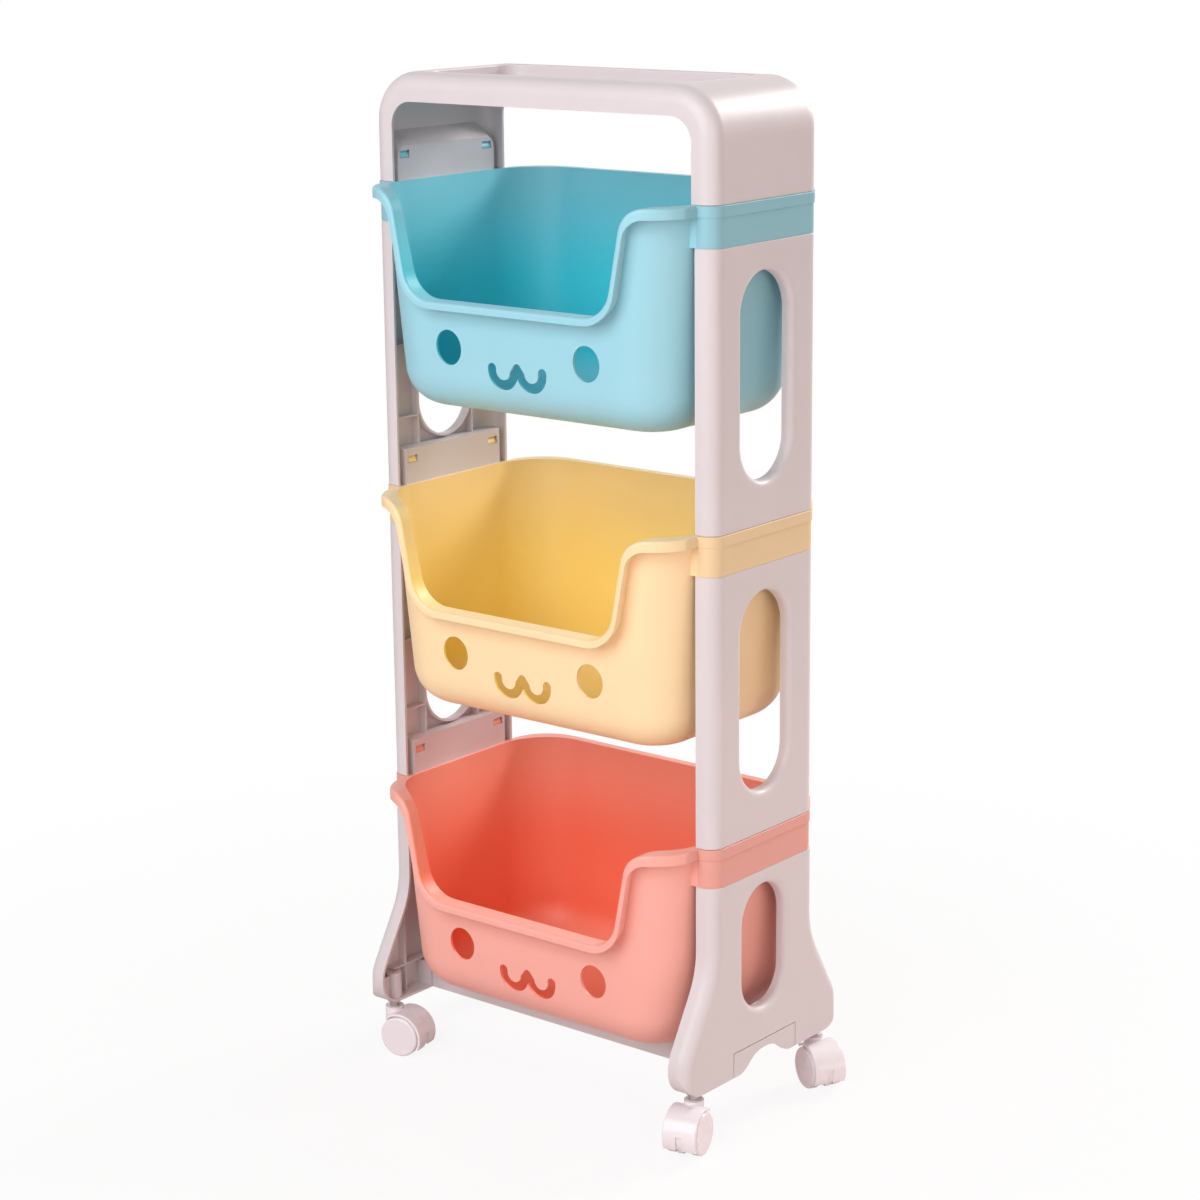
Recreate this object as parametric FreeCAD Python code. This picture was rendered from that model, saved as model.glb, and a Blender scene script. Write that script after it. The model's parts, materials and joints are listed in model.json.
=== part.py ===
import FreeCAD, Part
import math
import os

Vector = FreeCAD.Vector

# Three-tier rolling storage cart: moulded bins clipped between side panels,
# an inverted-U top frame, two flared feet on a cross beam, and four twin-wheel casters.
# Millimetres, +Z up, floor at z = 0, front of the cart towards -Y.

# Overall frame; bite is how far a rib sinks into its wall, cut_over how far a cut runs past a face
cart_width = 390.0
panel_depth = 156.0
panel_thickness = 20.5
panel_edge_radius = 14.6
wall = 2.5
fit_gap = 0.3
bite = 0.5
cut_over = 5.0
tier_pitch = 285.0
lowest_rim_height = 278.0
band_height = 36.0

# Bins
bin_draft = 0.06
bin_side_gap = 0.5
bin_front_overhang = 39.0
bin_corner_radius = 54.0
bin_bottom_radius = 38.0
lip_side_overhang = 4.0
lip_front_overhang = 9.0
lip_corner_radius = 46.0
lip_height = 10.0
lip_skin = 2.6
lip_soft_edge = 3.0
lip_side_height = 6.2
lip_floor_height = 7.0
lip_undercut = 4.0
front_wall_height = 104.0
dip_side_inset = 52.0
dip_width_level = -52.0
dip_slope = 0.2
dip_top_radius = 26.0
dip_bottom_radius = 30.0
band_step = 0.8
band_soft_edge = 0.6
eye_half_width = 14.9
eye_half_height = 16.2
eye_spacing = 79.7
eye_drop = 43.0
mouth_drop = 15.5
mouth_radius = 17.4
mouth_inner_radius = 8.0
mouth_spacing = 16.4
mouth_peak_radius = 4.9

# Snap clips and the boxes that take them
clip_inset = 21.0
clip_width = 11.0
clip_thickness = 2.2
clip_height = 27.0
clip_hook = 1.5
clip_nose = 2.4
box_end_gap = 11.0
box_height = 34.0
box_wall = 2.0
window_width = 13.5
window_low = 20.0
window_high = 27.0

# Side panels
hole_radius = 36.9
hole_floor_land = 4.5
hole_roof_land = 25.5
hole_edge_radius = 6.0
hole_rib_inset = 23.5
tunnel_depth = 11.4
tunnel_wall = 2.2
rib = 1.6
plug_height = 22.0
plug_inset = 2.5
plug_wall = 2.2
seam_radius = 1.2

# Top frame
top_frame_height = 100.0
arch_corner_radius = 45.0
arch_inner_radius = 22.0
arch_leg_extra = 3.5
arch_bar = 26.5
arch_edge_radius = 15.0
tray_end_land = 5.0
tray_side_land = 3.0
tray_depth = 12.0
tray_corner_radius = 20.0
tray_floor_radius = 4.0
tray_rim_radius = 1.8
leg_box_drop = 3.0
leg_box_rise = 14.0
leg_box_roof_extra = 2.8
leg_box_radius = 9.0

# Casters
caster_trail = 13.0
caster_inset = 0.75
caster_toe_inset = 26.0
wheel_radius = 20.0
wheel_inner_face = 6.8
wheel_width = 10.0
wheel_edge_radius = 2.6
wheel_rim = 3.5
wheel_hub_wall = 4.0
wheel_recess = 6.0
stem_radius = 4.0
stem_neck_radius = 4.6
stem_collar_radius = 7.0
stem_collar = 1.8
stem_in_hood = 19.0
stem_in_foot = 24.0
stem_chamfer = 0.6
socket_radius = 7.5
socket_cap = 4.0
socket_web = 3.0
hood_cover = 6.0
hood_boss_radius = 9.0
hood_to_wheel = 1.2
hood_wall = 2.4
hood_half_width = 16.0
hood_web_half = 3.0
hood_hub_half = 6.2
hood_hub_radius = 6.0
hood_boss_drop = 5.0
hood_web_low = 5.0
hood_to_foot = 7.0
fender_front_angle = -27.0
fender_back_angle = 125.0
fender_soft_edge = 1.0
axle_radius = 2.5
axle_half_length = 14.6
axle_chamfer = 0.4
running_gap = 0.05
caster_angles = {
    "front_right": -76.0,
    "front_left": 12.5,
    "rear_right": -27.0,
    "rear_left": 135.0,
}

# Feet and cross beam
foot_flare = 42.0
toe_radius = 24.0
flare_rise = 1.0
flare_angle = 30.0
flare_upper_radius = 80.0
flare_lower_radius = 36.0
foot_edge_radius = 12.0
foot_hole_radius = 33.0
foot_hole_floor_land = 31.0
foot_hole_roof_land = 15.5
foot_rib_rise = 6.0
beam_half_depth = 48.5
beam_height = 24.0
beam_end_seam = 0.8
beam_rib_clear = 6.0
beam_notch_half = 30.0
beam_notch_height = 15.5
beam_notch_toe = 12.0
beam_notch_shoulder = 14.0
beam_notch_soft = 3.0
saddle_wall = 2.2
toe_web = 2.4

# Derived widths and depths
outer_x = cart_width / 2
inner_x = outer_x - panel_thickness
skin_x = outer_x - wall
half_depth = panel_depth / 2
bin_top_half_width = inner_x - bin_side_gap
bin_top_half_depth = half_depth + bin_front_overhang
lip_half_width = bin_top_half_width + lip_side_overhang
lip_half_depth = bin_top_half_depth + lip_front_overhang
dip_half_width = bin_top_half_width - dip_side_inset
clip_offset = half_depth - clip_inset
box_half_depth = half_depth - box_end_gap
arch_leg = panel_thickness + arch_leg_extra
tray_half_width = outer_x - arch_corner_radius - tray_end_land
tray_half_depth = half_depth - arch_edge_radius - tray_side_land
foot_half_length = half_depth + foot_flare
caster_x = (outer_x + inner_x) / 2 - caster_inset
caster_y = foot_half_length - caster_toe_inset
far_x = cart_width * 0.6
far_y = panel_depth * 1.3

# Derived heights, from the floor up
hood_inner_radius = wheel_radius + hood_to_wheel
hood_outer_radius = hood_inner_radius + hood_wall
hood_top = 2 * wheel_radius + hood_cover
foot_bottom = hood_top + hood_to_foot
beam_top = foot_bottom + beam_height
stem_bottom = hood_top - stem_in_hood
stem_top = foot_bottom + stem_in_foot
bin_depth = lowest_rim_height - beam_top
rim_heights = [lowest_rim_height + tier_pitch * tier for tier in range(3)]
foot_top = rim_heights[0] - band_height
foot_hole_high = foot_top - foot_hole_roof_land
foot_hole_low = beam_top + foot_hole_floor_land
panel_height = tier_pitch - band_height
hole_low = box_height + hole_floor_land
hole_high = panel_height - hole_roof_land
top_of_cart = rim_heights[2] + top_frame_height
dip_depth = bin_depth - front_wall_height
face_height = -dip_depth - eye_drop


def box(x0, x1, y0, y1, z0, z1):
    """Axis-aligned block between two corners."""
    return Part.makeBox(x1 - x0, y1 - y0, z1 - z0, Vector(x0, y0, z0))


def rod_y(radius, x, z, y0, y1):
    """Cylinder along Y."""
    return Part.makeCylinder(radius, y1 - y0, Vector(x, y0, z), Vector(0, 1, 0))


def oval_y(half_width, half_height, x, z, y0, y1):
    """Oval bar along Y."""
    centre = Vector(x, y0, z)
    top = centre + Vector(0, 0, half_height)
    side = centre + Vector(half_width, 0, 0)
    wire = Part.Wire([Part.Ellipse(top, side, centre).toShape()])
    return Part.Face(wire).extrude(Vector(0, y1 - y0, 0))


def rod_z(radius, x, y, z0, z1):
    """Cylinder along Z."""
    return Part.makeCylinder(radius, z1 - z0, Vector(x, y, z0), Vector(0, 0, 1))


def arc(centre, radius, normal, start, end):
    """Circular edge between two angles in degrees."""
    return Part.makeCircle(radius, centre, normal, start, end)


def joined(shapes):
    """One solid from overlapping solids, without leftover seam edges."""
    return shapes[0].fuse(shapes[1:]).removeSplitter()


def mirrored(shape):
    """The same piece for the left side of the cart."""
    return shape.mirror(Vector(0, 0, 0), Vector(1, 0, 0))


def rounded_rectangle(half_x, half_y, radius, z):
    """Closed wire of a rounded rectangle around the Z axis."""
    edges = []
    corners = [(1, 1, 0), (-1, 1, 90), (-1, -1, 180), (1, -1, 270)]
    for sign_x, sign_y, start in corners:
        centre = Vector(sign_x * (half_x - radius), sign_y * (half_y - radius), z)
        edges.append(arc(centre, radius, Vector(0, 0, 1), start, start + 90))
    wire_edges = []
    for index, edge in enumerate(edges):
        following = edges[(index + 1) % 4]
        wire_edges.append(edge)
        wire_edges.append(Part.makeLine(edge.Vertexes[-1].Point, following.Vertexes[0].Point))
    return Part.Wire(wire_edges)


def prism(half_x, half_y, radius, z0, z1):
    """Upright rounded-rectangle block."""
    return Part.Face(rounded_rectangle(half_x, half_y, radius, z0)).extrude(Vector(0, 0, z1 - z0))


def tapered_block(inset, z_low, z_high, bottom_radius):
    """Drafted bin volume, inset from the bin's outer surface, rounded along its bottom edge."""
    wires = []
    for z in (z_low, z_high):
        shrink = -bin_draft * z + inset
        wires.append(rounded_rectangle(bin_top_half_width - shrink, bin_top_half_depth - shrink,
                                       bin_corner_radius - inset, z))
    block = Part.makeLoft(wires, True, True)
    edges = [edge for edge in block.Edges if edge.BoundBox.ZMax < z_low + 0.01]
    return block.makeFillet(bottom_radius, edges)


def rim_line(offset, side_offset, floor_offset):
    """Points and edges of the front rim seen from the front, lowered by the given offsets."""
    level = -offset
    low = -dip_depth - floor_offset
    lean = math.atan(dip_slope)
    shift = side_offset / math.cos(lean)
    top_radius = dip_top_radius - side_offset
    low_radius = dip_bottom_radius + side_offset
    turn = (math.pi / 2 - lean) / 2

    def side(z):
        return dip_half_width + shift + dip_slope * (z - dip_width_level)

    top_step = top_radius * math.tan(turn)
    low_step = low_radius * math.tan(turn)
    along = Vector(math.sin(lean), 0, math.cos(lean))
    top_corner = Vector(side(level), 0, level)
    low_corner = Vector(side(low), 0, low)
    top_far = top_corner + Vector(top_step, 0, 0)
    top_near = top_corner - along * top_step
    low_near = low_corner + along * low_step
    low_far = low_corner - Vector(low_step, 0, 0)
    return [Vector(far_x, 0, level), top_far, top_near, low_near, low_far,
            Vector(top_far.x, 0, level - top_radius), Vector(low_far.x, 0, low + low_radius)]


def round_between(start, end, centre):
    """Arc edge from start to end around a centre, through the short side."""
    middle = (start + end) * 0.5 - centre
    middle.normalize()
    through = centre + middle * (start - centre).Length
    return Part.Arc(start, through, end).toShape()


def rim_edges(points):
    """Edges of the whole front rim from the right end to the left end."""
    end, top_far, top_near, low_near, low_far, top_centre, low_centre = points
    right = [
        Part.makeLine(end, top_far),
        round_between(top_far, top_near, top_centre),
        Part.makeLine(top_near, low_near),
        round_between(low_near, low_far, low_centre),
    ]
    flip = [edge.mirror(Vector(0, 0, 0), Vector(1, 0, 0)) for edge in right]
    floor = Part.makeLine(low_far, Vector(-low_far.x, 0, low_far.z))
    return right + [floor] + flip


def front_sheet(upper, lower):
    """Front-view band between two rim lines, run back from the front to the middle of the bin."""
    ends = [
        Part.makeLine(upper[0], lower[0]),
        Part.makeLine(Vector(-upper[0].x, 0, upper[0].z), Vector(-lower[0].x, 0, lower[0].z)),
    ]
    edges = rim_edges(upper) + rim_edges(lower) + ends
    wire = Part.Wire(Part.__sortEdges__(edges))
    return Part.Face(wire).extrude(Vector(0, -far_y, 0))


def above_front(points):
    """Everything above the front rim line, in front of the middle of the bin."""
    left = Vector(-points[0].x, 0, points[0].z)
    high_right = Vector(points[0].x, 0, bin_depth)
    high_left = Vector(-points[0].x, 0, bin_depth)
    edges = rim_edges(points) + [
        Part.makeLine(points[0], high_right),
        Part.makeLine(high_right, high_left),
        Part.makeLine(high_left, left),
    ]
    wire = Part.Wire(Part.__sortEdges__(edges))
    return Part.Face(wire).extrude(Vector(0, -far_y, 0))


def on_block_side(edge, half_x, half_y, radius):
    """True when an edge lies on the upright side of a rounded-rectangle block."""
    for fraction in (0.1, 0.5, 0.9):
        first, last = edge.ParameterRange
        point = edge.valueAt(first + (last - first) * fraction)
        over_x = max(abs(point.x) - (half_x - radius), 0)
        over_y = max(abs(point.y) - (half_y - radius), 0)
        if abs(math.hypot(over_x, over_y) - radius) > 0.02:
            return False
    return True


def soften_lip(lip, front):
    """Round the outer upper edge of a lip ring."""
    edges = []
    for edge in lip.Edges:
        if not on_block_side(edge, lip_half_width, lip_half_depth, lip_corner_radius):
            continue
        middle = edge.valueAt(sum(edge.ParameterRange) / 2)
        bounds = edge.BoundBox
        if abs(middle.y) < 1 and bounds.YLength < 0.01:
            continue
        if front:
            upper = rim_height_at(abs(middle.x), middle.z)
        else:
            upper = middle.z > -lip_height / 2
        if upper:
            edges.append(edge)
    return lip.makeFillet(lip_soft_edge, edges)


def rim_height_at(x, z):
    """True when a point of the lip's front edge is on the upper rim line rather than the lower one."""
    if x > dip_half_width + 2 * lip_height:
        return z > -lip_height / 2
    if x < dip_half_width - dip_bottom_radius - 10:
        return z > -dip_depth - lip_height / 3
    distance = rim_curve.distToShape(Part.Vertex(Vector(x, 0, z)))[0]
    return distance < 1.0


rim_points = rim_line(0, 0, 0)
rim_curve = Part.Wire(Part.__sortEdges__(rim_edges(rim_points)))


def face_cutter():
    """Two oval eyes and a double-curve mouth, cut through the front wall."""
    front = -lip_half_depth - cut_over
    back = -bin_top_half_depth + bin_bottom_radius
    level = face_height - mouth_drop
    width = 2 * mouth_spacing + mouth_radius
    slot = (mouth_radius - mouth_inner_radius) / 2
    sides = [sign * mouth_spacing for sign in (-1, 1)]
    lower = joined([rod_y(mouth_radius, x, level, front, back) for x in sides])
    lower = lower.common(box(-width, width, front, back, level - 2 * mouth_radius, level))
    for x in sides:
        lower = lower.cut(rod_y(mouth_inner_radius, x, level - 0.2, front, back))
    root = mouth_spacing - mouth_inner_radius
    peak = mouth_peak_radius
    corners = [Vector(-root, front, level - 0.5), Vector(root, front, level - 0.5),
               Vector(0.92 * peak, front, level + peak), Vector(-0.92 * peak, front, level + peak)]
    ridge = Part.Face(Part.makePolygon(corners + [corners[0]])).extrude(Vector(0, back - front, 0))
    pieces = [lower, ridge, rod_y(peak, 0, level + 0.6 * peak, front, back)]
    for sign in (-1, 1):
        x = sign * (mouth_spacing + mouth_inner_radius + slot)
        pieces.append(rod_y(slot + 0.1, x, level + 1.5, front, back))
        pieces.append(box(x - slot - 0.1, x + slot + 0.1, front, back, level - 1, level + 1.5))
    eyes = [oval_y(eye_half_width, eye_half_height, sign * eye_spacing, face_height, front, back)
            for sign in (-1, 1)]
    return [joined(pieces)] + eyes


def upright_block(x0, x1, half_y, z0, z1, radius):
    """Block whose two outer upright edges, at x1, are rounded."""
    low = Vector(0, 0, z0)
    points = [Vector(x0, -half_y, 0), Vector(x1 - radius, -half_y, 0), Vector(x1, -half_y + radius, 0),
              Vector(x1, half_y - radius, 0), Vector(x1 - radius, half_y, 0), Vector(x0, half_y, 0)]
    points = [point + low for point in points]
    up = Vector(0, 0, 1)
    edges = [
        Part.makeLine(points[0], points[1]),
        arc(Vector(x1 - radius, -half_y + radius, z0), radius, up, 270, 360),
        Part.makeLine(points[2], points[3]),
        arc(Vector(x1 - radius, half_y - radius, z0), radius, up, 0, 90),
        Part.makeLine(points[4], points[5]),
        Part.makeLine(points[5], points[0]),
    ]
    return Part.Face(Part.Wire(edges)).extrude(Vector(0, 0, z1 - z0))


def soft_ends(block, z_values, x_inside, radius):
    """Round the outline of a block's end faces, leaving the inner side sharp."""
    edges = []
    for edge in block.Edges:
        bounds = edge.BoundBox
        flat = bounds.ZLength < 0.01
        at_end = any(abs(bounds.ZMin - z) < 0.01 for z in z_values)
        if flat and at_end and bounds.XMax > x_inside + 0.01:
            edges.append(edge)
    return block.makeFillet(radius, edges)


def side_band():
    """Right-hand band of a bin: top plate, skirt and the two upward snap clips."""
    body = upright_block(inner_x - 6, outer_x, half_depth, -band_height, 0, panel_edge_radius)
    step = upright_block(inner_x - 6, outer_x + band_step, half_depth + band_step, -lip_height, 0,
                         panel_edge_radius + band_step)
    step = soft_ends(step, [0, -lip_height], inner_x - 6, band_soft_edge)
    band = body.fuse(step)
    for sign in (-1, 1):
        y0 = sign * clip_offset - clip_width / 2
        y1 = sign * clip_offset + clip_width / 2
        clip_x = inner_x + box_wall + fit_gap
        tab = box(clip_x, clip_x + clip_thickness, y0, y1, -1, clip_height)
        profile = [Vector(clip_x + bite, y0, window_low + fit_gap),
                   Vector(clip_x - clip_hook, y0, window_low + fit_gap),
                   Vector(clip_x - clip_hook, y0, window_low + clip_nose),
                   Vector(clip_x + bite, y0, window_high - fit_gap)]
        hook = Part.Face(Part.makePolygon(profile + [profile[0]])).extrude(Vector(0, clip_width, 0))
        band = band.fuse([tab, hook])
    return band


def band_cavity():
    """Hollow under a band that takes the plug of the panel below."""
    return upright_block(inner_x - 12, skin_x, half_depth - wall, -band_height - 1, -wall,
                         panel_edge_radius - wall)


def make_bin():
    """One bin with its rim at z = 0."""
    outer = tapered_block(0, -bin_depth, band_height, bin_bottom_radius)
    cavity = tapered_block(wall, -bin_depth + wall, 2 * band_height, bin_bottom_radius - wall)
    shell = outer.cut(cavity)
    shell = shell.cut(above_front(rim_points)).cut(box(-far_x, far_x, 0, far_y, 0, bin_depth))
    lip_low = -dip_depth - 3 * lip_height
    lip_block = prism(lip_half_width, lip_half_depth, lip_corner_radius, lip_low, band_height)
    lower_points = rim_line(lip_height, lip_side_height, lip_floor_height)
    front_lip = lip_block.cut(outer).common(front_sheet(rim_points, lower_points))
    back_lip = lip_block.cut(outer).common(box(-far_x, far_x, 0, far_y, -lip_height, 0))
    front_lip = soften_lip(front_lip, True)
    back_lip = soften_lip(back_lip, False)
    hollow_block = prism(lip_half_width - lip_skin, lip_half_depth - lip_skin,
                         lip_corner_radius - lip_skin, lip_low, band_height).cut(outer)
    hollow_top = rim_line(lip_skin, lip_skin, lip_skin)
    hollow_low = rim_line(lip_height + lip_undercut, 2 * lip_side_height, 2 * lip_floor_height)
    front_hollow = hollow_block.common(front_sheet(hollow_top, hollow_low))
    back_hollow = hollow_block.common(box(-far_x, far_x, 0, far_y, -lip_height - 2, -lip_skin))
    front_lip = front_lip.cut(front_hollow)
    back_lip = back_lip.cut(back_hollow)
    right_band = side_band().cut(outer)
    hollow = band_cavity().cut(outer)
    bands = [right_band.cut(hollow), mirrored(right_band.cut(hollow))]
    for gap in (hollow, mirrored(hollow)):
        front_lip = front_lip.cut(gap)
        back_lip = back_lip.cut(gap)
    body = joined([shell, front_lip, back_lip] + bands)
    for cutter in face_cutter():
        body = body.cut(cutter)
    return body


def clip_box(z0, roof_rise):
    """Box at the foot of a panel or leg, open below, with windows for the snap clips."""
    depth = 2 * box_half_depth
    face_top = box_height if roof_rise == 0 else box_height - leg_box_drop
    start = Vector(inner_x, -box_half_depth, z0)
    outline = [start, start + Vector(0, 0, face_top),
               Vector(skin_x + 1, -box_half_depth, z0 + face_top + roof_rise),
               Vector(skin_x + 1, -box_half_depth, z0)]
    block = Part.Face(Part.makePolygon(outline + [outline[0]])).extrude(Vector(0, depth, 0))
    if roof_rise:
        edges = [edge for edge in block.Edges
                 if abs(edge.BoundBox.ZLength - roof_rise) < 0.1 and edge.BoundBox.YLength < 0.1]
        block = block.makeFillet(leg_box_radius, edges)
    inner_rise = roof_rise - leg_box_roof_extra if roof_rise else 0
    inside_start = Vector(inner_x + box_wall, -box_half_depth + box_wall, z0 - 1)
    inside = [inside_start, inside_start + Vector(0, 0, face_top - box_wall + 1),
              Vector(skin_x, -box_half_depth + box_wall, z0 + face_top - box_wall + inner_rise),
              Vector(skin_x, -box_half_depth + box_wall, z0 - 1)]
    hollow = Part.Face(Part.makePolygon(inside + [inside[0]]))
    hollow = hollow.extrude(Vector(0, depth - 2 * box_wall, 0))
    if roof_rise:
        edges = [edge for edge in hollow.Edges
                 if abs(edge.BoundBox.ZLength - inner_rise) < 0.1 and edge.BoundBox.YLength < 0.1]
        hollow = hollow.makeFillet(leg_box_radius - box_wall, edges)
    windows = []
    for sign in (-1, 1):
        middle = sign * clip_offset
        windows.append(box(inner_x - 1, inner_x + box_wall + bite, middle - window_width / 2,
                           middle + window_width / 2, z0 + window_low, z0 + window_high))
    return block.cut(hollow).cut(windows[0]).cut(windows[1])


def hand_hole(radius, grown, low, high, x0, x1):
    """Block along X in the shape of a hand hole, its ends as round as its height allows."""
    end = min(radius, (high - low) / 2 - fit_gap)
    flat = radius - end
    axis = Vector(1, 0, 0)
    pieces = [box(x0, x1, -radius - grown, radius + grown, low + end, high - end)]
    if flat > 0:
        pieces.append(box(x0, x1, -flat, flat, low - grown, high + grown))
    for y in {-flat, flat}:
        for z in (low + end, high - end):
            pieces.append(Part.makeCylinder(end + grown, x1 - x0, Vector(x0, y, z), axis))
    return joined(pieces)


def plug(z0):
    """Reduced upper end of a panel that enters the band above."""
    x0 = inner_x + plug_inset
    x1 = skin_x - fit_gap
    half = half_depth - wall - fit_gap
    radius = panel_edge_radius - wall - fit_gap
    block = upright_block(x0, x1, half, z0 - 1, z0 + plug_height, radius)
    inside = upright_block(x0 - 1, x1 - plug_wall, half - plug_wall, z0, z0 + plug_height + 1,
                           radius - plug_wall)
    return block.cut(inside)


def hole_ribs(radius, low, high, floor, ceiling, levels):
    """Upright and level ribs around a hand hole."""
    x0 = outer_x - tunnel_depth
    x1 = skin_x + bite
    ribs = []
    for sign in (-1, 1):
        y = sign * (radius + tunnel_wall / 2)
        ribs.append(box(x0, x1, y - rib / 2, y + rib / 2, floor, low + radius))
        ribs.append(box(x0, x1, y - rib / 2, y + rib / 2, high - radius, ceiling))
        for z in levels:
            far = sign * (half_depth - wall / 2)
            ribs.append(box(x0, x1, min(y, far), max(y, far), z - rib / 2, z + rib / 2))
    return ribs


def cut_hand_hole(body, radius, low, high):
    """Add the tunnel wall, cut the hand hole and round its outer edge."""
    tunnel = hand_hole(radius, tunnel_wall, low, high, outer_x - tunnel_depth, skin_x + bite)
    body = joined([body, tunnel])
    body = body.cut(hand_hole(radius, 0, low, high, inner_x - cut_over, outer_x + cut_over))
    edges = []
    for edge in body.Edges:
        bounds = edge.BoundBox
        on_face = abs(bounds.XMin - outer_x) < 0.01 and abs(bounds.XMax - outer_x) < 0.01
        inside = bounds.YMax < radius + 0.1 and bounds.YMin > -radius - 0.1
        tall = bounds.ZMin > low - 0.1 and bounds.ZMax < high + 0.1
        if on_face and inside and tall:
            edges.append(edge)
    return body.makeFillet(hole_edge_radius, edges)


def make_panel(z0):
    """Right-hand side panel standing on the rim at height z0."""
    z1 = z0 + panel_height
    block = upright_block(inner_x, outer_x, half_depth, z0, z1, panel_edge_radius)
    block = soft_ends(block, [z0, z1], inner_x, seam_radius)
    hollow = upright_block(inner_x - 1, skin_x, half_depth - wall, z0 - 1, z1 - wall,
                           panel_edge_radius - wall)
    low = z0 + hole_low
    high = z0 + hole_high
    levels = [low + hole_rib_inset, (low + high) / 2, high - hole_rib_inset]
    ribs = hole_ribs(hole_radius, low, high, z0 + box_height - 1, z1 - wall / 2, levels)
    ribs = [piece.common(block) for piece in ribs]
    body = joined([block.cut(hollow), clip_box(z0, 0), plug(z1)] + ribs)
    return cut_hand_hole(body, hole_radius, low, high)


def arch_region(half_width, top, radius, z0):
    """Closed wire of an arch seen from the front."""
    y_axis = Vector(0, -1, 0)
    left_centre = Vector(-half_width + radius, 0, top - radius)
    right_centre = Vector(half_width - radius, 0, top - radius)
    edges = [
        Part.makeLine(Vector(-half_width, 0, z0), Vector(-half_width, 0, top - radius)),
        arc(left_centre, radius, y_axis, 90, 180),
        Part.makeLine(Vector(-half_width + radius, 0, top), Vector(half_width - radius, 0, top)),
        arc(right_centre, radius, y_axis, 0, 90),
        Part.makeLine(Vector(half_width, 0, top - radius), Vector(half_width, 0, z0)),
        Part.makeLine(Vector(half_width, 0, z0), Vector(-half_width, 0, z0)),
    ]
    return Part.Wire(Part.__sortEdges__(edges))


def arch_block(half_width, top, radius, z0, half_y, edge_radius):
    """Filled arch with its front and back outer edges rounded."""
    face = Part.Face(arch_region(half_width, top, radius, z0))
    face.translate(Vector(0, -half_y, 0))
    block = face.extrude(Vector(0, 2 * half_y, 0))
    edges = []
    for edge in block.Edges:
        bounds = edge.BoundBox
        flat = bounds.YLength < 0.01
        if flat and bounds.ZMax > z0 + 0.01:
            edges.append(edge)
    return block.makeFillet(edge_radius, edges)


def make_top_frame():
    """Inverted-U frame with a shallow tray in its top and clip boxes in its legs."""
    z0 = rim_heights[2]
    outer = arch_block(outer_x, top_of_cart, arch_corner_radius, z0, half_depth, arch_edge_radius)
    outer = soft_ends(outer, [z0], -far_x, seam_radius)
    inner_top = top_of_cart - arch_bar
    opening = Part.Face(arch_region(outer_x - arch_leg, inner_top, arch_inner_radius, z0 - 1))
    opening.translate(Vector(0, -panel_depth, 0))
    opening = opening.extrude(Vector(0, 2 * panel_depth, 0))
    hollow = arch_block(outer_x - wall, top_of_cart - wall, arch_corner_radius - wall, z0 - 1,
                        half_depth - wall, arch_edge_radius - wall)
    shell = outer.cut(opening).cut(hollow)
    tray_floor = top_of_cart - tray_depth
    support = prism(tray_half_width + wall, tray_half_depth + wall, tray_corner_radius + wall,
                    tray_floor - wall, top_of_cart - wall / 2)
    pocket = prism(tray_half_width, tray_half_depth, tray_corner_radius, tray_floor,
                   top_of_cart + cut_over)
    floor_edges = [edge for edge in pocket.Edges if edge.BoundBox.ZMax < tray_floor + 0.01]
    pocket = pocket.makeFillet(tray_floor_radius, floor_edges)
    leg_box = clip_box(z0, leg_box_rise)
    body = joined([shell, support, leg_box, mirrored(leg_box)]).cut(pocket)
    rim_edges_found = []
    for edge in body.Edges:
        bounds = edge.BoundBox
        level = abs(bounds.ZMin - top_of_cart) < 0.01 and abs(bounds.ZMax - top_of_cart) < 0.01
        inside = bounds.XMax < tray_half_width + 0.1 and bounds.XMin > -tray_half_width - 0.1
        near = bounds.YMax < tray_half_depth + 0.1 and bounds.YMin > -tray_half_depth - 0.1
        if level and inside and near:
            rim_edges_found.append(edge)
    return body.makeFillet(tray_rim_radius, rim_edges_found)


def foot_outline(inset, toes):
    """Front-to-back outline of a foot, drawn in the Y-Z plane, inset from its surface."""
    lean = math.radians(flare_angle)
    top = foot_top - inset
    low = foot_bottom + inset
    half_top = half_depth - inset
    half_foot = foot_half_length - inset
    upper = flare_upper_radius + inset
    lower = flare_lower_radius - inset
    toe = toe_radius - inset
    toe_level = foot_bottom + toe_radius
    flare_level = toe_level + flare_rise
    lower_centre = Vector(0, half_foot - lower, flare_level)
    lower_end = lower_centre + Vector(0, lower * math.cos(lean), lower * math.sin(lean))
    rise = flare_upper_radius + flare_lower_radius
    run = foot_half_length - half_depth - rise * (1 - math.cos(lean))
    upper_level = flare_level + rise * math.sin(lean) + run / math.tan(lean)
    upper_centre = Vector(0, half_top + upper, upper_level)
    upper_end = upper_centre - Vector(0, upper * math.cos(lean), upper * math.sin(lean))
    upper_start = Vector(0, half_top, upper_level)
    flare_end = Vector(0, half_foot, flare_level)
    toe_start = Vector(0, half_foot, toe_level)
    side = [
        Part.makeLine(Vector(0, half_top, top), upper_start),
        round_between(upper_start, upper_end, upper_centre),
        Part.makeLine(upper_end, lower_end),
        round_between(lower_end, flare_end, lower_centre),
        Part.makeLine(flare_end, toe_start),
    ]
    if toes:
        heel = Vector(0, half_foot - toe, low)
        side.append(round_between(toe_start, heel, Vector(0, half_foot - toe, toe_level)))
    else:
        heel = Vector(0, half_foot, low - 30)
        side.append(Part.makeLine(toe_start, heel))
    other = [edge.mirror(Vector(0, 0, 0), Vector(0, 1, 0)) for edge in side]
    floor = Part.makeLine(heel, Vector(0, -heel.y, heel.z))
    roof = Part.makeLine(Vector(0, half_top, top), Vector(0, -half_top, top))
    return Part.Wire(Part.__sortEdges__(side + other + [floor, roof]))


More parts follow.
